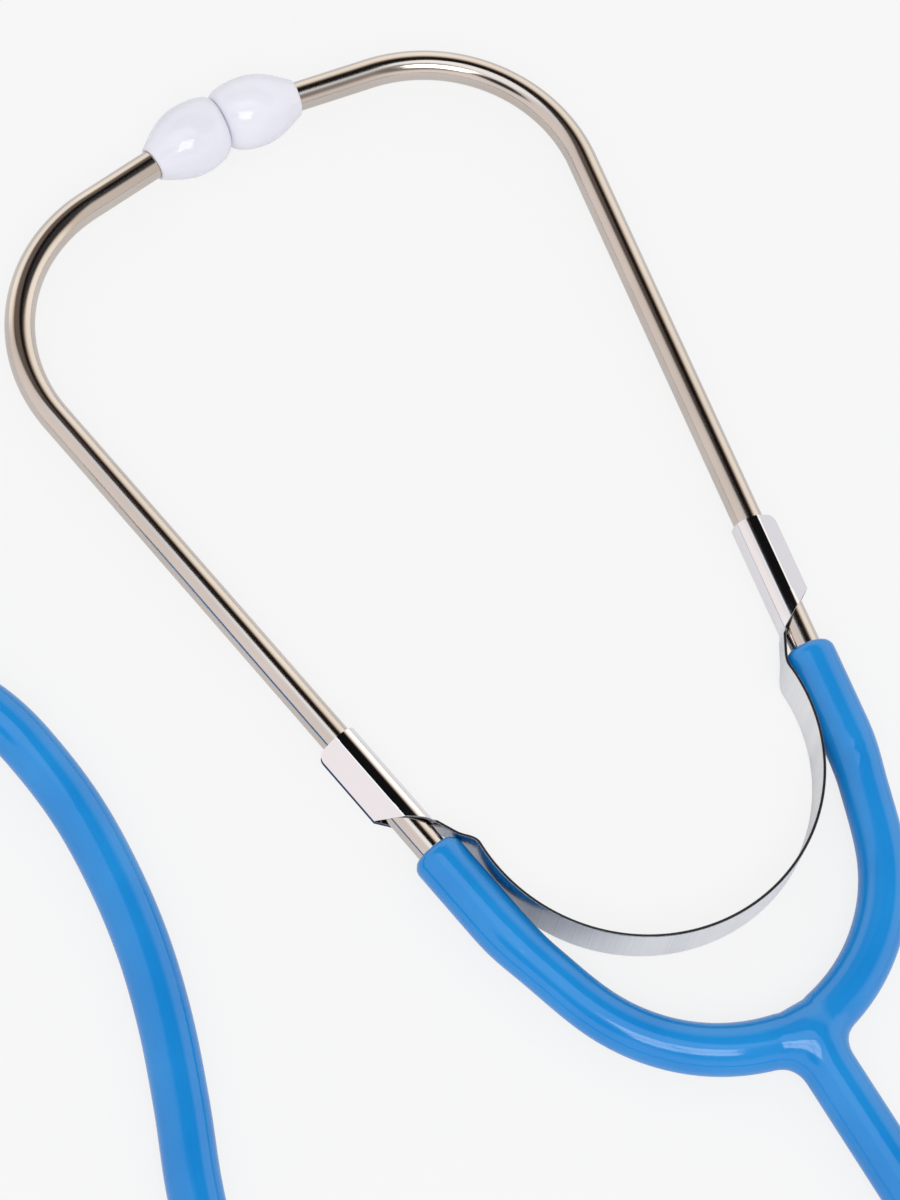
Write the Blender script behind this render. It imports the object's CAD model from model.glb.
# %% [markdown]
# # A toy stethoscope, dressed for its photograph
#
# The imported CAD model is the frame: it says where every piece is and how the two arms swing.
# Blender adds what the camera sees - smooth plated metal, soft blue tubing and glossy ear tips.
# The frame is loaded first, and the box round it is kept to compare with the finished model.

# %% Load the frame
import math
import bmesh
import bpy
import numpy as np
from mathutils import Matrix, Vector


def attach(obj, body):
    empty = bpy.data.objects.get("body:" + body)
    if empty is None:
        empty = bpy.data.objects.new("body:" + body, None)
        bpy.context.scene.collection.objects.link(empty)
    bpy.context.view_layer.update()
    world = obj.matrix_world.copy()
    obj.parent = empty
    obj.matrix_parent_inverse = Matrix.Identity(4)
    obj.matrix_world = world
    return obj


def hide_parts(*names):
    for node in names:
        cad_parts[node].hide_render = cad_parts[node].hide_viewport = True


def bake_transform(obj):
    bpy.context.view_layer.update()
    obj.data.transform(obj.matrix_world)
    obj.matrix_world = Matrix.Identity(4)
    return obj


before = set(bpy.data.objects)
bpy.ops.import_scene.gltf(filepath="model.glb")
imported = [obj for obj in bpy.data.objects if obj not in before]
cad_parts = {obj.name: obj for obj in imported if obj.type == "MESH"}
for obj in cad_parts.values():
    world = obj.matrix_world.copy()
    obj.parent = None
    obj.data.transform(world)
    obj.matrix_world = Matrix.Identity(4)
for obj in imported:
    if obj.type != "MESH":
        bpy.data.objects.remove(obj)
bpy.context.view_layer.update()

# %% [markdown]
# ## One set of sizes
#
# Every piece below follows the same few sizes as the CAD model, in millimetres. They are
# written in the headset's own flat frame: the three ducts of the Y tube meet at the origin, +Y
# runs to the ear tips, and `place` carries a point from there into the frame of the model, in
# metres. The headset lies on the leaf spring's lower edge and on its ear tips, so it is tilted by
# a fraction of a degree.

# %% Sizes of the headset
MM = 0.001
LEAN, TURN = math.radians(9.4), math.radians(91.5)
TUBE_D, TUBE_RUN, TUBE_BEND_R, TUBE_END = 6.0, 139.0, 33.0, 23.0
SLEEVE_D, SLEEVE_LEN, MOUTH_R = 10.2, 25.5, 2.1
ARM_D, ARM_LEAN, ARM_RUN, ARM_BEND_R = 9.8, math.radians(20.5), 14.0, 38.0
STEM_D, STEM_LEN = 10.2, 42.0
TIP_D, TIP_LEN, TIP_NECK_D, TIP_INSERT, TIP_BORE_D = 14.8, 16.2, 7.2, 7.0, 2.6
FOOT = np.array([37.7982, 38.7037])
MIDDLE = np.array([-47.4979, 91.479])
TILT, LIFT = math.radians(0.443557), 5.7152
SIDE = np.array([math.sin(LEAN), math.cos(LEAN)])
OUT = np.array([math.cos(LEAN), -math.sin(LEAN)])


def place(points):
    """Headset millimetres, as rows of x, y and height above the ducts' plane, to model metres."""
    p = np.atleast_2d(np.asarray(points, float))
    c, s = math.cos(TILT), math.sin(TILT)
    return np.c_[p[:, 0] - MIDDLE[0], p[:, 1] * c - p[:, 2] * s - MIDDLE[1],
                 p[:, 1] * s + p[:, 2] * c + LIFT] * MM


def aimed(directions):
    """Unit directions in the model's frame, turned as place turns its points."""
    turned = place(directions) - place([[0, 0, 0]])
    return turned / np.linalg.norm(turned, axis=1)[:, None]


def flip(points):
    """The left-hand twins of right-hand points or directions."""
    return np.asarray(points, float) * np.array([-1, 1, 1])


SIDES = {"left": flip, "right": lambda points: np.asarray(points, float)}
print("the junction lies at", place([[0, 0, 0]]).round(4).tolist())

# %% [markdown]
# ## The camera
#
# The photograph looks down on the headset from above its left side, turned by about half a right
# angle. The camera's place and its three directions come from fitting the symmetric headset to
# the outline in the picture. A long lens keeps the perspective slight.

# %% Camera
camera = bpy.data.objects.new("camera", bpy.data.cameras.new("camera"))
bpy.context.scene.collection.objects.link(camera)
bpy.context.scene.camera = camera
camera.data.sensor_width = 36
camera.data.lens = 105
camera.data.clip_end = 20
ahead = Vector((0.26780, 0.30436, -0.91414)).normalized()
right = Vector((0.85437, -0.51357, 0.07930))
right = (right - right.dot(ahead) * ahead).normalized()
turn = camera.matrix_world.copy()
for column, axis in enumerate((right, right.cross(ahead), -ahead)):
    for row in range(3):
        turn[row][column] = axis[row]
turn.translation = Vector((-145.17, -189.96, 619.51)) * MM
camera.matrix_world = turn
print("camera at", tuple(round(x, 4) for x in turn.translation))

# %% [markdown]
# ## Writing shaders as arithmetic
#
# A material is a graph of nodes, but its maths reads better as a formula. `Link` wraps one
# output socket and overloads the operators, so `1 - mask` adds a Math node. `Graph` makes every
# other node with one method, from a type, its settings and its sockets. `Finish` is the graph of
# a material, and adds the few patterns that the finishes here are made of.

# %% Links
class Link:
    """One output socket of a graph."""

    def __init__(self, graph, socket):
        self.graph, self.socket = graph, socket

    def math(self, operation, first, second):
        return self.graph.node("ShaderNodeMath", {"operation": operation}, {0: first, 1: second})

    def __add__(self, other):
        return self.math("ADD", self, other)

    def __sub__(self, other):
        return self.math("SUBTRACT", self, other)

    def __rsub__(self, other):
        return self.math("SUBTRACT", other, self)

    def __mul__(self, other):
        return self.math("MULTIPLY", self, other)

    __radd__, __rmul__ = __add__, __mul__


# %% Graphs
class Graph:
    """The node tree of a material or of the world."""

    def __init__(self, tree):
        self.tree = tree

    def set(self, node, sockets):
        """Gives sockets their values or links."""
        for key, value in sockets.items():
            if isinstance(value, Link):
                self.tree.links.new(value.socket, node.inputs[key])
            else:
                node.inputs[key].default_value = value

    def node(self, kind, settings=None, sockets=None, output=0):
        """Any node: its type, its settings, then its sockets. It returns one of its outputs."""
        node = self.tree.nodes.new(kind)
        for key, value in (settings or {}).items():
            if key == "stops":
                elements = node.color_ramp.elements
                while len(elements) < len(value):
                    elements.new(1)
                for element, (at, colour) in zip(elements, value):
                    element.position, element.color = at, (*colour, 1)
            else:
                setattr(node, key, value)
        self.set(node, sockets or {})
        return Link(self, node.outputs[output])

    def ramp(self, level, *stops):
        """Colours along a number, given as pairs of number and colour."""
        return self.node("ShaderNodeValToRGB", {"stops": stops}, {"Fac": level})

    def step(self, level, low, high):
        """0 below one value and 1 above the other, softly."""
        return self.node("ShaderNodeMapRange", {"interpolation_type": "SMOOTHSTEP"},
                         {"Value": level, "From Min": low, "From Max": high})

    def mix(self, factor, first, second):
        """The first colour where the factor is 0 and the second where it is 1 (sockets 6, 7 and 2 carry colours)."""
        return self.node("ShaderNodeMix", {"data_type": "RGBA"}, {0: factor, 6: first, 7: second}, output=2)


print("node arithmetic ready")

# %% Finishes
class Finish(Graph):
    """A material with its Principled shader."""

    def __init__(self, name, **constants):
        self.material = bpy.data.materials.new(name)
        self.material.use_nodes = True
        super().__init__(self.material.node_tree)
        self.shader = self.tree.nodes["Principled BSDF"]
        self.feed(**constants)

    def feed(self, **sockets):
        """Sets the Principled shader's sockets: base_color is its Base Color, and so on."""
        names = {key: key.replace("_", " ").title().replace("Ior", "IOR") for key in sockets}
        self.set(self.shader, {names[key]: value for key, value in sockets.items()})

    def where(self):
        """The place of a point in the piece's own space."""
        return self.node("ShaderNodeTexCoord", output="Object")

    def attribute(self, name):
        """A number that the mesh carries at every vertex."""
        return self.node("ShaderNodeAttribute", {"attribute_name": name}, output="Fac")

    def noise(self, scale, detail=2.0):
        """Noise with about so many grains to a metre."""
        return self.node("ShaderNodeTexNoise", None, {"Vector": self.where(), "Scale": scale, "Detail": detail})

    def lines(self, position, density, detail=2.0):
        """Noise along one number: lines that run across it, about so many to a metre."""
        return self.node("ShaderNodeTexNoise", {"noise_dimensions": "1D"},
                         {"W": position * density, "Scale": 1.0, "Detail": detail})

    def bump(self, strength, distance, height):
        return self.node("ShaderNodeBump", None, {"Strength": strength, "Distance": distance, "Height": height})


def shade(red, green, blue):
    """A colour as a screen shows it, 0 to 255, turned into the linear values that shaders use."""
    return tuple(((c / 255 + 0.055) / 1.055) ** 2.4 for c in (red, green, blue))


print("white paper is", [round(c, 3) for c in shade(248, 248, 248)])

# %% [markdown]
# ## Blue soft PVC
#
# The Y tube and the hose are dipped PVC: an even, strong blue that is glossy without being
# hard. Dipping leaves a faint orange-peel, so a soft noise moves the surface a little and makes
# the gloss uneven. Seen along its length the tube shows paler bands, which are reflections of
# the bright room and need no paint.

# %% PVC
def make_pvc():
    pvc = Finish("blue_pvc", ior=1.5)
    broad, fine = pvc.noise(60.0), pvc.noise(420.0, 3.0)
    blue = pvc.ramp(broad, (0.3, shade(20, 131, 207)), (0.7, shade(33, 142, 216)))
    pvc.feed(base_color=blue, roughness=0.08 + fine * 0.06, normal=pvc.bump(0.12, 0.0004, broad + fine * 0.15))
    return pvc.material


pvc = make_pvc()
print("made", pvc.name)

# %% [markdown]
# ## Metals
#
# Three kinds of metal meet on the headset. The ear tubes are drawn steel with a warm nickel
# tone: fine lines run round them and blur what they reflect. The spring is bright plated and as
# sharp as a mirror on its clips, brushed along its arc, and darker where the strip was cut. The
# chest piece is turned, so its faces carry fine rings.

# %% Metals
def make_tube_steel():
    steel = Finish("tube_steel", metallic=1.0)
    lines = steel.lines(steel.attribute("along"), 5200.0, 3.0)
    specks, broad = steel.noise(1400.0, 3.0), steel.noise(45.0)
    nickel = steel.ramp(broad, (0.3, shade(201, 192, 184)), (0.7, shade(212, 203, 195)))
    steel.feed(base_color=nickel, roughness=0.08 + lines * 0.09,
               normal=steel.bump(0.09, 0.00005, lines * 0.7 + specks * 0.5))
    return steel.material


CLIP_FROM, CLIP_FULL = 0.064, 0.072  # metres along the strip, from the middle of its arc


def make_spring_chrome():
    chrome = Finish("spring_chrome", metallic=1.0)
    along, cut_edge = chrome.attribute("along"), chrome.attribute("cut_edge")
    bands, lines, broad = chrome.lines(along, 90.0), chrome.lines(along, 2600.0), chrome.noise(70.0)
    on_clip = chrome.step(along, CLIP_FROM, CLIP_FULL)
    level = (bands * 0.75 + lines * 0.3) * (1 - on_clip) + on_clip + broad * 0.1
    plated = chrome.ramp(level, (0.25, shade(196, 199, 205)), (0.65, shade(236, 237, 239)),
                         (0.9, shade(234, 232, 235)))
    chrome.feed(base_color=chrome.mix(cut_edge * 0.85, plated, (*shade(74, 76, 82), 1)),
                roughness=0.05 + lines * 0.04 + (1 - on_clip) * 0.09 + cut_edge * 0.1,
                normal=chrome.bump(0.06, 0.0002, broad + lines * 0.05))
    return chrome.material


def make_turned_metal(centre):
    """Turned aluminium: fine rings round the chest piece's axis."""
    turned = Finish("chest_metal", metallic=1.0)
    shifted = turned.node("ShaderNodeVectorMath", {"operation": "SUBTRACT"}, {0: turned.where(), 1: centre})
    level = turned.node("ShaderNodeVectorMath", {"operation": "MULTIPLY"}, {0: shifted, 1: (1, 1, 0)})
    off_axis = turned.node("ShaderNodeVectorMath", {"operation": "LENGTH"}, {0: level}, output="Value")
    rings = turned.lines(off_axis, 9000.0)
    bright = turned.ramp(turned.noise(80.0), (0.3, shade(215, 216, 220)), (0.7, shade(226, 227, 230)))
    turned.feed(base_color=bright, roughness=0.16 + rings * 0.14, normal=turned.bump(0.15, 0.00003, rings))
    return turned.material


CHEST = np.array([-88.9415, 76.9294, 0.0]) * MM
tube_steel, spring_chrome = make_tube_steel(), make_spring_chrome()
chest_metal = make_turned_metal(tuple(CHEST))
print("made", tube_steel.name, spring_chrome.name, chest_metal.name)

# %% [markdown]
# ## Plastics
#
# The ear tips are hard moulded plastic, a cool white with a clean gloss. The diaphragm is a thin
# stiff disc with a fine matt weave of scratches.

# %% Plastics
def make_ear_tip_plastic():
    plastic = Finish("ear_tip_plastic", ior=1.5, subsurface_weight=0.1, subsurface_radius=(1.0, 0.9, 0.9),
                     subsurface_scale=0.001)
    broad, fine = plastic.noise(90.0), plastic.noise(700.0)
    white = plastic.ramp(broad, (0.3, shade(233, 233, 243)), (0.7, shade(240, 240, 248)))
    plastic.feed(base_color=white, roughness=0.09 + fine * 0.06, normal=plastic.bump(0.05, 0.0002, broad))
    return plastic.material


def make_diaphragm_plastic():
    disc = Finish("diaphragm_plastic", ior=1.5)
    weave = disc.noise(1500.0, 3.0)
    pale = disc.ramp(weave, (0.35, shade(226, 226, 222)), (0.65, shade(238, 238, 234)))
    disc.feed(base_color=pale, roughness=0.42 + weave * 0.12, normal=disc.bump(0.2, 0.00005, weave))
    return disc.material


ear_tip_plastic, diaphragm_plastic = make_ear_tip_plastic(), make_diaphragm_plastic()
print("made", ear_tip_plastic.name, diaphragm_plastic.name)

# %% [markdown]
# ## Meshes from rings
#
# Nearly everything here is a tube or a turned piece: a row of rings joined by quads. `skin`
# joins equal rings into one closed mesh, and the two helpers after it place the rings - `sweep`
# along a line and `lathe` round an axis.

# %% Ring helpers
HOSE_SIDES, TUBE_SIDES, TIP_SIDES, CHEST_SIDES, ROUGH_SIDES = 40, 64, 96, 128, 32
POLE_R = 0.02  # a turned piece ends in a tiny ring, so that no face is folded up


def piece(name, vertices, faces, material, body=None, node=None, slot=None):
    """A new mesh object; it rides on a body and stands for a CAD node where these are named."""
    mesh = bpy.data.meshes.new(name)
    mesh.from_pydata([tuple(map(float, v)) for v in vertices], [], faces)
    mesh.materials.append(material)
    mesh.polygons.foreach_set("use_smooth", [True] * len(mesh.polygons))
    mesh.update()
    made = bpy.data.objects.new(name, mesh)
    bpy.context.scene.collection.objects.link(made)
    if node:
        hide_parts(node)
    if body:
        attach(made, body)
    return made


def mark(made, name, values):
    """Gives a piece a number at every vertex, which its finish reads by name."""
    made.data.attributes.new(name, "FLOAT", "POINT").data.foreach_set("value", values)


def travelled(line):
    """How far each point of a line is from its start, measured along the line."""
    return np.concatenate([[0], np.cumsum(np.linalg.norm(np.diff(line, axis=0), axis=1))])


def skin(rings, closed=False):
    """Vertices and faces through rings of equal count: capped ends, or first and last ring joined."""
    rings = [np.asarray(r, float) for r in rings]
    count, last = len(rings[0]), len(rings) - 1
    faces = []
    for i in range(last + (1 if closed else 0)):
        a, b = i * count, ((i + 1) % (last + 1)) * count
        faces += [(a + k, a + (k + 1) % count, b + (k + 1) % count, b + k) for k in range(count)]
    if not closed:
        faces += [tuple(range(count - 1, -1, -1)), tuple(last * count + k for k in range(count))]
    return np.concatenate(rings), faces


def headings(line):
    """Unit directions along a line of points."""
    step = np.gradient(line, axis=0)
    return step / np.linalg.norm(step, axis=1)[:, None]


def sweep(line, radii, sides):
    """Rings of the given radii round a line of points in metres, kept upright by world +Z."""
    line = np.asarray(line, float)
    radii = np.broadcast_to(radii, len(line))
    angles = np.arange(sides) * 2 * math.pi / sides
    rings = []
    for point, way, radius in zip(line, headings(line), radii):
        across = np.cross(way, (0, 0, 1))
        across /= np.linalg.norm(across)
        up = np.cross(way, across)
        rings.append(point + radius * (np.cos(angles)[:, None] * across + np.sin(angles)[:, None] * up))
    return rings


def lathe(profile, start, axis, sides):
    """Rings of a profile of (radius, distance) pairs in millimetres round an axis in metres."""
    axis = np.asarray(axis, float) / np.linalg.norm(axis)
    across = np.cross(axis, (0, 0, 1) if abs(axis[2]) < 0.9 else (1, 0, 0))
    across /= np.linalg.norm(across)
    up = np.cross(axis, across)
    angles = np.arange(sides) * 2 * math.pi / sides
    return [start + distance * MM * axis
            + max(radius, POLE_R) * MM * (np.cos(angles)[:, None] * across + np.sin(angles)[:, None] * up)
            for radius, distance in profile]


def soften(made, width, angle):
    """Takes the hard edges off a piece by a width in millimetres, where they turn by an angle or more."""
    bevel = made.modifiers.new("edges", "BEVEL")
    bevel.width, bevel.segments, bevel.limit_method = width * MM, 1, "ANGLE"
    bevel.angle_limit = math.radians(angle)
    bevel.harden_normals = True


print("ring helpers ready")

# %% [markdown]
# ## The hose
#
# The hose leaves the stem of the Y tube, lies along the table in one big loop, comes back up the
# left side of the headset and turns out to the chest piece. It is as long as the real one would
# be and as thick all the way. The points below are the ones that the CAD model is swept along; a
# cubic curve through them takes the corners out.

# %% Hose
hose_lie = STEM_D / 2
stem_end = (0.0, -STEM_LEN * math.cos(TILT), LIFT - STEM_LEN * math.sin(TILT))
hose_points = [stem_end, (0, -52, 5.2), (0, -62, hose_lie), (-1.7, -74.9, hose_lie), (-6.7, -87, hose_lie),
               (-14.6, -97.4, hose_lie), (-25, -105.3, hose_lie), (-37.1, -110.3, hose_lie), (-50, -112, hose_lie),
               (-69, -112, hose_lie), (-81.9, -110.3, hose_lie), (-94, -105.3, hose_lie), (-104.4, -97.4, hose_lie),
               (-112.3, -87, hose_lie), (-117.3, -74.9, hose_lie), (-119, -62, hose_lie), (-120.2, -42, hose_lie),
               (-120.4, -22, hose_lie), (-119.2, -3, hose_lie), (-116.2, 14, hose_lie), (-111.4, 30.3, hose_lie),
               (-105.9, 44.8, hose_lie), (-100.9, 59.8, hose_lie), (-97.4, 74.5, hose_lie), (-95.6, 89, hose_lie),
               (-95.3, 103.9, hose_lie), (-97.2, 118.5, 5.7), (-99.8, 127.1, 6.8), (-104.2, 135, 8),
               (-109, 140.7, 8.6), (-119.2, 151, 8.6)]
route = (np.array(hose_points, float) - np.array([*MIDDLE, 0])) * MM


def through(points, steps=8):
    """A smooth line through points: each stretch is a cubic with the neighbours' directions."""
    line = []
    padded = np.concatenate([[2 * points[0] - points[1]], points, [2 * points[-1] - points[-2]]])
    for i in range(1, len(padded) - 2):
        a, b = padded[i], padded[i + 1]
        reach = np.linalg.norm(b - a)
        ta = (b - padded[i - 1]) / np.linalg.norm(b - padded[i - 1]) * reach
        tb = (padded[i + 2] - a) / np.linalg.norm(padded[i + 2] - a) * reach
        for t in np.arange(steps) / steps:
            h = (2 * t ** 3 - 3 * t ** 2 + 1, t ** 3 - 2 * t ** 2 + t, -2 * t ** 3 + 3 * t ** 2, t ** 3 - t ** 2)
            line.append(h[0] * a + h[1] * ta + h[2] * b + h[3] * tb)
    return np.array(line + [points[-1]])


hose_line = through(route)
hose_line[:, 2] = np.maximum(hose_line[:, 2], hose_lie * MM)
hose = piece("hose_tube", *skin(sweep(hose_line, STEM_D / 2 * MM, HOSE_SIDES)), pvc, "tubing", "hose", "blue_pvc")

# %% [markdown]
# ## The ear tubes
#
# Each ear tube is one steel tube: a straight run, a bend of a little over a right angle and a
# short straight end inside the ear tip. The line is drawn once for the right side and mirrored,
# and fine rings in the bend keep its reflections smooth.

# %% Ear tubes
bend_at = FOOT + TUBE_RUN * SIDE - TUBE_BEND_R * OUT
ear_turn = math.pi / 2 - LEAN + TURN
tube_tip = bend_at + TUBE_BEND_R * np.array([math.sin(ear_turn), -math.cos(ear_turn)])
ear_dir = np.array([math.cos(ear_turn), math.sin(ear_turn)])


def flat(points):
    """Headset points in the plane of the ducts."""
    return np.c_[np.asarray(points, float), np.zeros(len(points))]


tube_line = [FOOT + SIDE * t for t in np.linspace(0, TUBE_RUN, 24)]
tube_line += [bend_at + TUBE_BEND_R * np.array([math.cos(a), math.sin(a)])
              for a in np.linspace(-LEAN, TURN - LEAN, 60)[1:]]
tube_line += [tube_tip + ear_dir * t for t in np.linspace(0, TUBE_END, 6)[1:]]
tube_line = flat(tube_line)
along_tube = np.repeat(travelled(tube_line) * MM, TUBE_SIDES)
for side, turned_to in SIDES.items():
    rings = sweep(place(turned_to(tube_line)), TUBE_D / 2 * MM, TUBE_SIDES)
    tube = piece(f"{side}_ear_tube_steel", *skin(rings), tube_steel, f"{side}_arm", f"{side}_ear_tube", "tube_steel")
    mark(tube, "along", along_tube)
print("ear tube line", len(tube_line), "rings")

# %% [markdown]
# ## The ear tips
#
# An ear tip is shaped like an olive: a thin neck round the tube, a flank that swells like a sine
# and a blunt nose with the sound bore in it. One profile runs from the neck over the nose and
# down into the bore, so the turned piece is a single closed skin. The spring presses the two
# noses together, so each is set square to the middle plane and just reaches it.

# %% Ear tips
NOSE_R, NOSE_ROUND, NOSE_GAP, WIDEST_AT = 4.3, 0.8, 0.03, 0.60
tip_fat = WIDEST_AT * TIP_LEN
tip_start = tube_tip + ear_dir * (TUBE_END - TIP_INSERT)
tip_end = (tip_start[0] - NOSE_GAP) / -ear_dir[0]
neck_rim = [(TUBE_D / 2 - 0.1, 0.3), (TUBE_D / 2 + 0.1, 0.05), (TIP_NECK_D / 2 - 0.15, 0.0)]
flank = [((TIP_NECK_D + (TIP_D - TIP_NECK_D) * math.sin(t)) / 2, tip_fat * t / (math.pi / 2))
         for t in np.linspace(0.03, math.pi / 2, 26)]
nose = [(NOSE_R + (TIP_D / 2 - NOSE_R) * math.cos(t) ** NOSE_ROUND, tip_fat + (tip_end - tip_fat) * math.sin(t))
        for t in np.linspace(0, math.pi / 2, 24)[1:]]
bore = [(TIP_BORE_D / 2 + 0.35, tip_end), (TIP_BORE_D / 2 + 0.08, tip_end - 0.1),
        (TIP_BORE_D / 2, tip_end - 0.45), (TIP_BORE_D / 2, TIP_INSERT + 0.5)]
tip_profile = neck_rim + flank + nose + bore
for side, turned_to in SIDES.items():
    start, end = place(turned_to(flat([tip_start, tip_start + ear_dir])))
    axis = (end - start) / np.linalg.norm(end - start)
    rings = lathe(tip_profile, start, axis, TIP_SIDES)
    for ring, (radius, distance) in zip(rings, tip_profile):
        square = np.clip((distance - tip_fat) / (tip_end - tip_fat), 0, 1) ** 2
        off_axis = ring - start - distance * MM * axis
        ring -= square * np.outer(off_axis[:, 0] / axis[0], axis)
    piece(f"{side}_ear_tip_olive", *skin(rings), ear_tip_plastic, f"{side}_arm", f"{side}_ear_tip", "ear_tip_plastic")
print("ear tip", round(tip_end, 2), "mm long,", len(tip_profile), "points")

# %% [markdown]
# ## The soft Y tube: its skin as a distance
#
# Two arms and a stem run into each other with soft fillets, which no single sweep can give. So
# the skin is described as a distance: how far a point is from the middle line of an arm or of
# the stem, less the radius there. A smooth minimum of the three melts them together. A rough
# mesh comes from a voxel remesh of plain tubes, and every vertex is then pulled onto the exact
# skin, whose slope also gives perfect shading normals.

# %% Distance to the Y's skin
BELOW_FOOT = 0.1 * SLEEVE_D
arm_out = np.array([math.cos(ARM_LEAN), -math.sin(ARM_LEAN)])
arm_low = FOOT - BELOW_FOOT * SIDE - ARM_RUN * np.array([math.sin(ARM_LEAN), math.cos(ARM_LEAN)])
arm_at = arm_low - ARM_BEND_R * arm_out
arm_end = -math.acos(-arm_at[0] / ARM_BEND_R)
KNEE_UP, STEM_TOP, CROTCH, TOP_MELT = 3.0, -3.0, 4.0, 1.2
SKIN_IN, WAIST, WAIST_FROM, WAIST_RUN = 0.05, 0.38, -3, 10
SWELL, SWELL_FROM, SWELL_RUN = 0.33, 10, 50
PAST_MOUTH = 4  # the middle line runs on past the sleeve's mouth, which is cut square
knee = FOOT + KNEE_UP * SIDE


def arm_middle(spacing=1.0, rounding=5):
    """Middle line of an arm from the sleeve's mouth to the junction, its two kinks rounded."""
    corners = [FOOT + (SLEEVE_LEN + PAST_MOUTH) * SIDE, knee, arm_low]
    corners += [arm_at + ARM_BEND_R * np.array([math.cos(a), math.sin(a)])
                for a in np.linspace(-ARM_LEAN, arm_end, 60)[1:]]
    corners = np.array(corners)
    reach = travelled(corners)
    at = np.linspace(0, reach[-1], int(reach[-1] / spacing))
    line = np.c_[np.interp(at, reach, corners[:, 0]), np.interp(at, reach, corners[:, 1])]
    smooth = line.copy()
    for i in range(rounding, len(line) - rounding):
        smooth[i] = line[i - rounding:i + rounding + 1].mean(axis=0)
    return smooth, at - reach[1]


arm_line, past_knee = arm_middle()


def ease(t):
    """From 0 to 1 as t does, but level at both ends."""
    t = np.clip(t, 0, 1)
    return t * t * (3 - 2 * t)


# the sleeve narrows past the knee to a waist, and swells again towards the junction
arm_radii = SLEEVE_D / 2 - SKIN_IN - WAIST * ease((past_knee - WAIST_FROM) / WAIST_RUN)
arm_radii = arm_radii + SWELL * ease((past_knee - SWELL_FROM) / SWELL_RUN)


def melt(a, b, width):
    """Smooth minimum: equal to the smaller of the two where they differ by more than width."""
    h = np.clip(0.5 + 0.5 * (b - a) / width, 0, 1)
    return b + (a - b) * h - width * h * (1 - h)


def arm_distance(p):
    """Signed distance from one arm and its sleeve, for points mirrored to X >= 0 beforehand."""
    found = np.full(len(p), 1e9)
    step = np.diff(arm_line, axis=0)
    for start, way, r0, r1 in zip(arm_line, step, arm_radii, arm_radii[1:]):
        t = np.clip((p[:, :2] - start) @ way / (way @ way), 0, 1)
        away = p[:, :2] - start - t[:, None] * way
        found = np.minimum(found, np.sqrt((away ** 2).sum(axis=1) + p[:, 2] ** 2) - r0 - (r1 - r0) * t)
    end = (p[:, :2] - FOOT) @ SIDE - SLEEVE_LEN
    rounded = np.hypot(np.maximum(found + MOUTH_R, 0), np.maximum(end + MOUTH_R, 0)) - MOUTH_R
    return np.where(end > -MOUTH_R, np.where(found > -MOUTH_R, rounded, end), found)


def y_distance(p):
    """Signed distance from the whole Y tube, in millimetres."""
    stem = np.hypot(p[:, 0], p[:, 2])
    stem = np.where(p[:, 1] > STEM_TOP, np.linalg.norm(p - np.array([0, STEM_TOP, 0]), axis=1), stem) - STEM_D / 2
    arms = melt(arm_distance(p * np.array([-1, 1, 1])), arm_distance(p), TOP_MELT)
    return melt(arms, stem, CROTCH)


def y_slope(p, step=0.02):
    """Direction in which the distance grows, which is the skin's normal."""
    slope = np.stack([(y_distance(p + d) - y_distance(p - d)) / (2 * step) for d in np.eye(3) * step], axis=1)
    return slope / np.maximum(np.linalg.norm(slope, axis=1), 1e-9)[:, None]


print("distance at the junction's middle", y_distance(np.zeros((1, 3))).round(2).tolist(), "mm")

# %% [markdown]
# ## The soft Y tube: its mesh
#
# The rough mesh is made of three overlapping tubes, remeshed with small voxels. The pull onto
# the skin is Newton's method, a little damped. Then the mesh is cut down the middle: each half
# bends with its own arm, and both halves keep the whole skin's normals, so the cut doesn't show.

# %% Y tube
VOXEL, SHORT_OF_MOUTH, STEM_SPARE, BEND_FROM = 0.75, 0.3, 3, 5
PULLS, DAMPING = 5, 0.95


def rough_y():
    """A closed voxel mesh close to the skin, in headset millimetres."""
    inside = arm_line[(arm_line - FOOT) @ SIDE < SLEEVE_LEN - SHORT_OF_MOUTH]
    stem_line = flat([(0, 1 - t) for t in np.linspace(0, STEM_LEN + STEM_SPARE, 30)])
    vertices, faces = [], []
    for line, radius in ((flat(inside), ARM_D / 2), (flip(flat(inside)), ARM_D / 2), (stem_line, STEM_D / 2)):
        v, f = skin(sweep(line, radius, ROUGH_SIDES))
        faces += [tuple(i + len(vertices) for i in face) for face in f]
        vertices += list(v)
    rough = piece("rough_y", vertices, faces, pvc)
    remesh = rough.modifiers.new("voxels", "REMESH")
    remesh.mode, remesh.voxel_size = "VOXEL", VOXEL
    held = bpy.context.evaluated_depsgraph_get()
    mesh = bpy.data.meshes.new_from_object(rough.evaluated_get(held))
    bpy.data.objects.remove(rough)
    return mesh


def pull_onto_skin(mesh):
    p = np.array([v.co for v in mesh.vertices])
    for _ in range(PULLS):
        p = p - y_distance(p)[:, None] * y_slope(p) * DAMPING
    return p


y_mesh = rough_y()
y_points = pull_onto_skin(y_mesh)
y_mesh.vertices.foreach_set("co", y_points.ravel())
print("Y tube", len(y_points), "vertices, off the skin by at most",
      round(float(np.abs(y_distance(y_points)).max()), 3), "mm")


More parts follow.
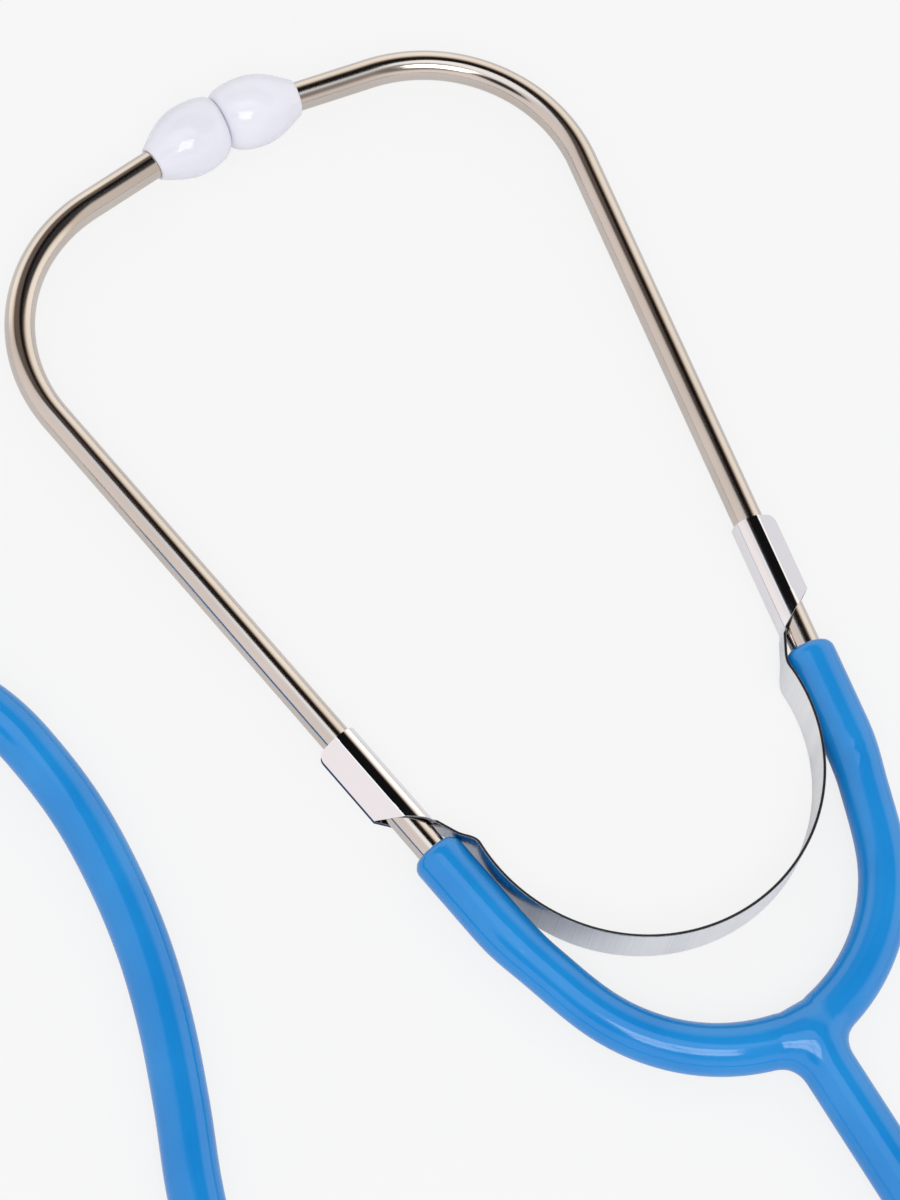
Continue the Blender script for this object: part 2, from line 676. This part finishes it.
def y_half(sign, name):
    """One half of the Y tube, cut at X = 0 and below the stem, bending from the tubing to its arm."""
    cut = bmesh.new()
    cut.from_mesh(y_mesh)
    for at, normal in (((0, 0, 0), (-sign, 0, 0)), ((0, -STEM_LEN, 0), (0, -1, 0))):
        every = cut.verts[:] + cut.edges[:] + cut.faces[:]
        bmesh.ops.bisect_plane(cut, geom=every, plane_co=at, plane_no=normal, clear_outer=True, dist=1e-5)
    vertices = np.array([v.co for v in cut.verts])
    cut.verts.index_update()
    faces = [[v.index for v in f.verts] for f in cut.faces]
    cut.free()
    normals = aimed(y_slope(vertices))
    floor_at = -(LIFT + vertices[:, 1] * math.sin(TILT)) / math.cos(TILT)
    vertices[:, 2] = np.maximum(vertices[:, 2], floor_at)
    half = piece(name, place(vertices), faces, pvc)
    half.data.normals_split_custom_set_from_vertices([tuple(n) for n in normals])
    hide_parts("y_tube")
    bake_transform(half)
    return half


left_y = y_half(-1, "y_tube_left")
right_y = y_half(1, "y_tube_right")
print("halves", len(left_y.data.vertices), len(right_y.data.vertices))

# %% [markdown]
# ## The leaf spring
#
# One strip of spring steel runs round a half circle, cranks outwards beside each sleeve and
# narrows to the clip that is folded round the ear tube. The middle line is the CAD model's, with
# more points so that its mirror finish stays smooth. Each side is a piece of its own, so that it
# can bend with its arm.

# %% Spring sizes and middle line
STRIP_W, STRIP_T, ARC_R, ARC_Y = 11.8, 0.6, 35.0388, 59.2037
CRANK_LOW_R, CRANK_HIGH_R, CRANK_LEAN = 6.0, 4.0, math.radians(30)
CLIP_LEN, CLIP_REACH, CLIP_SLOPE, CLIP_CORNER, FLANGE_GAP = 23.0, 4.9, 6.5, 1.8, 0.3
NECK_RUN, NECK_HALF = 5.0, 2.6
FOLD_R, WALL_RISE, TOP_LEAN, TOP_RUN, CREASE_R = 2.9, 0.6, math.radians(4), 1.5, 0.45
CLIP_FIT = 0.05
wall = TUBE_D / 2 + CLIP_FIT + STRIP_T / 2
crank_low_at = np.array([ARC_R + CRANK_LOW_R, ARC_Y])
crank_low_end = crank_low_at + CRANK_LOW_R * np.array([-math.cos(CRANK_LEAN), math.sin(CRANK_LEAN)])
crank_turn = CRANK_LEAN - LEAN
crank_run = (-wall - OUT @ (crank_low_end - FOOT) - CRANK_HIGH_R * (1 - math.cos(crank_turn))) / math.sin(crank_turn)
crank_high_start = crank_low_end + crank_run * np.array([math.sin(CRANK_LEAN), math.cos(CRANK_LEAN)])
crank_high_at = crank_high_start - CRANK_HIGH_R * np.array([math.cos(CRANK_LEAN), -math.sin(CRANK_LEAN)])
wall_foot = crank_high_at + CRANK_HIGH_R * OUT
clip_foot = float(SIDE @ (wall_foot - FOOT))


def strip_stations():
    """Points of the middle line with the direction out of the outer face."""
    found = []
    for a in np.linspace(-math.pi / 2, 0, 60):
        d = np.array([math.cos(a), math.sin(a)])
        found.append((np.array([0, ARC_Y]) + ARC_R * d, d))
    for a in np.linspace(0, CRANK_LEAN, 18)[1:]:
        d = np.array([math.cos(a), -math.sin(a)])
        found.append((crank_low_at - CRANK_LOW_R * d, d))
    d = np.array([math.cos(CRANK_LEAN), -math.sin(CRANK_LEAN)])
    for t in np.linspace(0, 1, 8)[1:-1]:
        found.append((crank_low_end + (crank_high_start - crank_low_end) * t, d))
    for a in np.linspace(CRANK_LEAN, LEAN, 12):
        d = np.array([math.cos(a), -math.sin(a)])
        found.append((crank_high_at + CRANK_HIGH_R * d, d))
    return found


stations = strip_stations()
print("clip foot at", round(clip_foot, 3), "mm up the tube;", len(stations), "stations")

# %% [markdown]
# ## The leaf spring: its clips
#
# The strip and its clip are one sheet, so they are one grid here. Every station of the middle
# line carries a cross line: how far the sheet reaches to either side, and how tightly it is
# curled there. The curl is nothing on the arc and complete on the clip, where the line goes up
# the inner wall, round a wide fold, across the top and over a crease into the flange. Mirror
# metal shows every facet, so the normals come from the same formula, not from the faces.

# %% Curl of the sheet
top_turn = math.pi / 2 - TOP_LEAN
crease_at = np.array([FOLD_R * (1 - math.cos(top_turn)) + TOP_RUN * math.sin(top_turn),
                      WALL_RISE + FOLD_R * math.sin(top_turn) + TOP_RUN * math.cos(top_turn)])
flange_way = np.array([wall + CLIP_REACH, STRIP_T / 2 + FLANGE_GAP / 2]) - crease_at
flange_turn = math.atan2(flange_way[0], flange_way[1])
crease_cut = CREASE_R * math.tan((flange_turn - top_turn) / 2)
curl_lengths = [WALL_RISE, FOLD_R * top_turn, TOP_RUN - crease_cut, CREASE_R * (flange_turn - top_turn),
                float(np.hypot(*flange_way)) - crease_cut]
curl_marks = np.concatenate([[0], np.cumsum(curl_lengths)])
curl_angles = np.array([0, 0, top_turn, top_turn, flange_turn, flange_turn])
CURL_STEP, SHEET_COLUMNS = 0.02, 72
curl_u = np.arange(0, curl_marks[-1] + CURL_STEP, CURL_STEP)
curl_angle = np.interp(curl_u, curl_marks, curl_angles)


def cross_line(u, curl):
    """Offset along the outward direction, height and turning angle at signed reaches u."""
    angle = curl * curl_angle
    a = np.concatenate([[0], np.cumsum((np.sin(angle)[1:] + np.sin(angle)[:-1]) / 2) * CURL_STEP])
    z = np.concatenate([[0], np.cumsum((np.cos(angle)[1:] + np.cos(angle)[:-1]) / 2) * CURL_STEP])
    far = np.abs(u)
    return np.interp(far, curl_u, a), np.sign(u) * np.interp(far, curl_u, z), np.interp(far, curl_u, angle)


# the lower cut of the clip: how far the sheet reaches at a height above the clip's foot
full_a = cross_line(curl_u, 1.0)[0]
neck_a = float(np.interp(NECK_HALF, curl_u, full_a))
cut_u = curl_u[curl_u >= NECK_HALF]
cut_s = CLIP_SLOPE * (full_a[curl_u >= NECK_HALF] - neck_a) / (full_a[-1] - neck_a)


def clip_reach(s):
    """How far the sheet reaches at s millimetres above the clip's foot."""
    reach = float(np.interp(s, cut_s, cut_u))
    into_corner = s - (CLIP_LEN - CLIP_CORNER)
    if into_corner > 0:
        reach -= CLIP_CORNER - math.sqrt(max(0.0, CLIP_CORNER ** 2 - into_corner ** 2))
    return reach


print("sheet reaches", round(float(curl_marks[-1]), 2), "mm from its middle to the flange's edge")

# %% One side of the spring
def sheet_rows():
    """Stations from the arc's bottom to the clip's top: point, outward direction, reach, curl."""
    rows = []
    for point, d in stations:
        t = ease((point[1] - ARC_Y) / NECK_RUN)
        curl = ease((point[1] - crank_high_start[1]) / (wall_foot[1] - crank_high_start[1]))
        rows.append((point, d, STRIP_W / 2 * (1 - t) + NECK_HALF * t, float(curl)))
    below_corner = CLIP_LEN - CLIP_CORNER
    heights = np.concatenate([np.linspace(0.3, CLIP_SLOPE, 22), np.linspace(CLIP_SLOPE, below_corner, 5)[1:],
                              CLIP_LEN - CLIP_CORNER * (1 - np.sin(np.linspace(0, math.pi / 2, 9)[1:]))])
    return rows + [(wall_foot + s * SIDE, OUT, clip_reach(s), 1.0) for s in heights]


def sheet_skin(rows, columns=SHEET_COLUMNS, chamfer=0.1):
    """The sheet's vertices, its faces and the normal of every face corner."""
    inner, outer = slice(0, columns), slice(columns + 2, 2 * columns + 2)
    low, high = chamfer * 2 / STRIP_T - 1, 1 - chamfer * 2 / STRIP_T
    side = np.concatenate([np.full(columns, -1.0), [low, high], np.full(columns, 1.0), [high, low]])
    rings, normals = [], []
    for point, d, reach, curl in rows:
        inner_u = np.linspace(-1, 1, columns) * (reach - chamfer)
        u = np.concatenate([inner_u, [reach, reach], inner_u[::-1], [-reach, -reach]])
        a, z, angle = cross_line(u, curl)
        sign = np.where(u < 0, -1.0, 1.0)
        face_a, face_z = np.cos(angle), -np.sin(angle) * sign
        a, z = a + side * STRIP_T / 2 * face_a, z + side * STRIP_T / 2 * face_z
        rings.append(np.c_[point[0] + a * d[0], point[1] + a * d[1], z])
        face = np.c_[face_a * d[0], face_a * d[1], face_z]
        normal = np.c_[np.sin(angle) * d[0], np.sin(angle) * d[1], np.cos(angle) * sign]
        normal[inner], normal[outer] = -face[inner], face[outer]
        normals.append(normal)
    count, last = len(side), len(rows) - 1
    faces = [(i * count + k, i * count + (k + 1) % count, (i + 1) * count + (k + 1) % count, (i + 1) * count + k)
             for i in range(last) for k in range(count)]
    corners = np.concatenate(normals)[np.ravel(faces)]
    end = [(k, k + 1, 2 * columns - k, 2 * columns + 1 - k) for k in range(columns - 1)]
    end += [(columns - 1, columns, columns + 1, columns + 2), (2 * columns + 1, 2 * columns + 2, 2 * columns + 3, 0)]
    faces += [tuple(last * count + c for c in quad) for quad in end]
    return np.concatenate(rings), faces, np.concatenate([corners, np.tile([*SIDE, 0.0], (4 * len(end), 1))])


rows = sheet_rows()
spring_vertices, spring_faces, spring_normals = sheet_skin(rows)
ring_size = len(spring_vertices) // len(rows)
along_strip = np.repeat(travelled([row[0] for row in rows]) * MM, ring_size)
on_cut_edge = np.tile(([0.0] * SHEET_COLUMNS + [1.0, 1.0]) * 2, len(rows))
for side, turned_to in SIDES.items():
    order = 1 if side == "right" else -1
    faces = [f[::order] for f in spring_faces]
    made = piece(f"leaf_spring_{side}", place(turned_to(spring_vertices)), faces, spring_chrome)
    normals = aimed(turned_to(spring_normals.reshape(-1, 4, 3)[:, ::order].reshape(-1, 3)))
    made.data.normals_split_custom_set([tuple(n) for n in normals])
    mark(made, "along", along_strip)
    mark(made, "cut_edge", on_cut_edge)
    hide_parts("leaf_spring")
    ends = place(turned_to(np.array([(0, ARC_Y - ARC_R, 0), (*wall_foot, 0)])))
    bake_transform(made)
print("spring", len(spring_vertices), "vertices a side")

# %% [markdown]
# ## The chest piece
#
# The chest piece lies beside the headset, outside the photograph: a turned body with a low hub,
# a ring screwed round it and a thin diaphragm that faces the table. Its pieces are turned from
# the CAD model's outlines with finer curves and small round edges.

# %% Chest piece
RING_D, RING_H, LIP_W, LIP_T, DIAPHRAGM_T, RING_WALL = 45.0, 4.0, 3.0, 0.8, 0.5, 2.0
CHEST_H, PLATE_T, HUB_D, CROWN_T, SEAT_FIT, EDGE = 13.4, 1.5, 18.0, 1.6, 0.02, 0.4
DISC_GAP, THREAD_GAP, FINE_EDGE, HARD_TURN = 0.3, 0.1, 0.05, 50
thread_r = RING_D / 2 - RING_WALL
plate_z = RING_H + SEAT_FIT
hub_z = CHEST_H - CROWN_T


def round_corner(x, z, start, end, r=EDGE, steps=5):
    """Points of a small quarter circle round a corner, from one direction to the other."""
    angles = np.linspace(math.radians(start), math.radians(end), steps)
    return [(x + r * math.cos(a), z + r * math.sin(a)) for a in angles]


under_z = LIP_T + DIAPHRAGM_T + DISC_GAP
body_profile = [(0, under_z), (thread_r - THREAD_GAP, under_z), (thread_r - THREAD_GAP, plate_z)]
body_profile += round_corner(RING_D / 2 - EDGE, plate_z + EDGE, -90, 0)
body_profile += round_corner(RING_D / 2 - EDGE, plate_z + PLATE_T - EDGE, 0, 90)
body_profile += [(HUB_D / 2 + (thread_r - LIP_W - HUB_D / 2) * (1 - math.sin(a)),
                  plate_z + PLATE_T + (hub_z - plate_z - PLATE_T) * (1 - math.cos(a)))
                 for a in np.linspace(0, math.pi / 2, 24)]
body_profile += [(HUB_D / 2 * math.cos(a), hub_z + CROWN_T * math.sin(a)) for a in np.linspace(0, math.pi / 2, 20)[1:]]
ring_profile = [(thread_r - LIP_W, LIP_T)]
ring_profile += round_corner(thread_r - LIP_W + EDGE, EDGE, 180, 270)
ring_profile += round_corner(RING_D / 2 - EDGE, EDGE, 270, 360)
ring_profile += round_corner(RING_D / 2 - EDGE, RING_H - EDGE, 0, 90)
ring_profile += [(thread_r, RING_H), (thread_r, LIP_T)]
for node, profile, closed in (("chest_body", body_profile, False), ("retaining_ring", ring_profile, True)):
    rings = lathe(profile, CHEST, (0, 0, 1), CHEST_SIDES)
    made = piece(f"{node}_turned", *skin(rings, closed), chest_metal, "tubing", node, "chest_metal")
    soften(made, FINE_EDGE, HARD_TURN)
for node, material in (("diaphragm", diaphragm_plastic), ("chest_stem", spring_chrome)):
    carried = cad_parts[node]
    carried.data.materials.clear()
    carried.data.materials.append(material)
print("chest piece at", CHEST.round(4).tolist())

# %% [markdown]
# ## The floor
#
# The photograph is a product shot on white. The floor is a white plane: to the camera it shines
# an even white with only a hint of shadow, and metal sees it as pale paper.

# %% Floor
FLOOR_HALF, FLOOR_BELOW = 6.0, 0.0002  # metres
GLOW_TO_CAMERA, GLOW_TO_METAL = 0.86, 0.2  # share of the even white in what each kind of ray sees


def make_floor():
    paper = Finish("floor_paper", roughness=0.9, specular_ior_level=0.0, base_color=(0.85, 0.85, 0.85, 1))
    grain = paper.node("ShaderNodeTexNoise", None, {"Scale": 900.0})
    paper.feed(normal=paper.bump(0.02, 0.0001, grain))
    to_camera, in_metal, through = (paper.node("ShaderNodeLightPath", output=f"Is {kind} Ray")
                                    for kind in ("Camera", "Glossy", "Transmission"))
    white = paper.node("ShaderNodeEmission", None, {"Color": (*shade(249, 249, 249), 1), "Strength": 1.0})
    glowing = to_camera * GLOW_TO_CAMERA + (in_metal + through) * GLOW_TO_METAL
    seen = paper.node("ShaderNodeMixShader", None, {0: glowing, 1: Link(paper, paper.shader.outputs[0]), 2: white})
    paper.set(paper.tree.nodes["Material Output"], {"Surface": seen})
    return paper.material


corners = [(x * FLOOR_HALF, y * FLOOR_HALF, -FLOOR_BELOW) for x, y in ((-1, -1), (1, -1), (1, 1), (-1, 1))]
floor = piece("floor", corners, [(0, 1, 2, 3)], make_floor())
print("floor", FLOOR_HALF * 2, "m wide")

# %% [markdown]
# ## The room
#
# Polished metal shows the room it stands in, so the room is made as carefully as the metal. It is
# written as a colour for every direction, and only glossy rays see it: warm grey walls, a bright
# panel overhead with a cooler rim, and a dark ring beyond the panel on one side, which draws the
# black streak along every tube. Four dim spots stand for the camera and what hangs near it. Matt
# surfaces are lit by an even white, and the camera sees a plain backdrop.

# %% Room
TENT_LIGHT, EVEN_LIGHT = 1.42, 0.76
world = bpy.data.worlds.new("tent")
bpy.context.scene.world = world
world.use_nodes = True
world.node_tree.nodes.clear()
room = Graph(world.node_tree)


def towards(direction):
    """Cosine between where a ray goes and a fixed direction."""
    way = room.node("ShaderNodeTexCoord", output="Generated")
    unit = tuple(Vector(direction).normalized())
    return room.node("ShaderNodeVectorMath", {"operation": "DOT_PRODUCT"}, {0: way, 1: unit}, output="Value")


walls = room.ramp(towards((0.94, 0.34, 0.0)) * 0.5 + 0.5, (0.0, (0.73, 0.69, 0.69)), (0.3, (0.7, 0.66, 0.64)),
                  (0.5, (0.55, 0.51, 0.49)), (0.75, (0.66, 0.6, 0.54)), (0.95, (0.95, 0.89, 0.81)))
panel = towards((-0.143, -0.083, 0.986))
ring = room.ramp(panel, (0.4, (0.9, 0.87, 0.81)), (0.6, (0.47, 0.39, 0.32)), (0.69, (0.06, 0.042, 0.03)),
                 (0.75, (0.004, 0.004, 0.004)), (1.0, (0.004, 0.004, 0.005)))
ring_side = room.step(towards((0.766, 0.643, 0.0)), -0.02, 0.15)
tint = room.mix(ring_side, walls, ring)
tint = room.mix(room.step(panel - ring_side * 0.095, 0.855, 0.875), tint, (0.67, 0.71, 0.78, 1))
tint = room.mix(room.step(panel, 0.93, 0.955), tint, (0.95, 0.97, 1.0, 1))
for way, low, high, dim in (((-0.2, -0.62, 0.76), 0.84, 0.97, (0.16, 0.14, 0.13, 1)),
                            ((-0.70, -0.25, 0.67), 0.955, 0.99, (0.03, 0.022, 0.018, 1)),
                            ((0.0, 0.616, 0.788), 0.93, 0.985, (0.13, 0.105, 0.095, 1)),
                            ((0.52, -0.09, 0.848), 0.93, 0.985, (0.03, 0.03, 0.036, 1))):
    tint = room.mix(room.step(towards(way), low, high), tint, dim)
tent, even, backdrop = (room.node("ShaderNodeBackground", None, {"Color": colour, "Strength": strength})
                        for colour, strength in ((tint, TENT_LIGHT), ((0.97, 0.97, 1.0, 1), EVEN_LIGHT),
                                                 ((*shade(248, 248, 248), 1), 1.0)))
to_matt, to_camera = (room.node("ShaderNodeLightPath", output=f"Is {kind} Ray") for kind in ("Diffuse", "Camera"))
lit = room.node("ShaderNodeMixShader", None, {0: to_matt, 1: tent, 2: even})
seen = room.node("ShaderNodeMixShader", None, {0: to_camera, 1: lit, 2: backdrop})
room.set(room.tree.nodes.new("ShaderNodeOutputWorld"), {"Surface": seen})
print("room nodes", len(room.tree.nodes))

# %% [markdown]
# ## The window
#
# The one sharp highlight on the tubing and the ear tips is a window with four panes, high behind
# the camera. Four small area lamps stand for it, and their light is weak beside the room's.

# %% Lamps
def softbox(name, at, aim, size, power):
    lamp = bpy.data.objects.new(name, bpy.data.lights.new(name, "AREA"))
    bpy.context.scene.collection.objects.link(lamp)
    lamp.data.shape, lamp.data.size, lamp.data.size_y, lamp.data.energy = "RECTANGLE", *size, power
    lamp.location = at
    lamp.rotation_mode = "QUATERNION"
    lamp.rotation_quaternion = (Vector(aim) - Vector(at)).to_track_quat("-Z", "Y")


WINDOW_AWAY, PANE, PANE_BAR, WINDOW_POWER = 1.1, (0.26, 0.24), 0.02, 3.6
window_ahead = Vector((-0.238, -0.474, 0.853)).normalized()
window_side = window_ahead.cross(Vector((0, 0, 1))).normalized()
window_up = window_side.cross(window_ahead)
for i, j in ((0, 0), (0, 1), (1, 0), (1, 1)):
    shift = window_side * (i - 0.5) * (PANE[0] + PANE_BAR) + window_up * (j - 0.5) * (PANE[1] + PANE_BAR)
    softbox(f"window_pane_{i}{j}", window_ahead * WINDOW_AWAY + shift, shift, PANE, WINDOW_POWER / 4)
bpy.context.scene.view_settings.view_transform = "Standard"
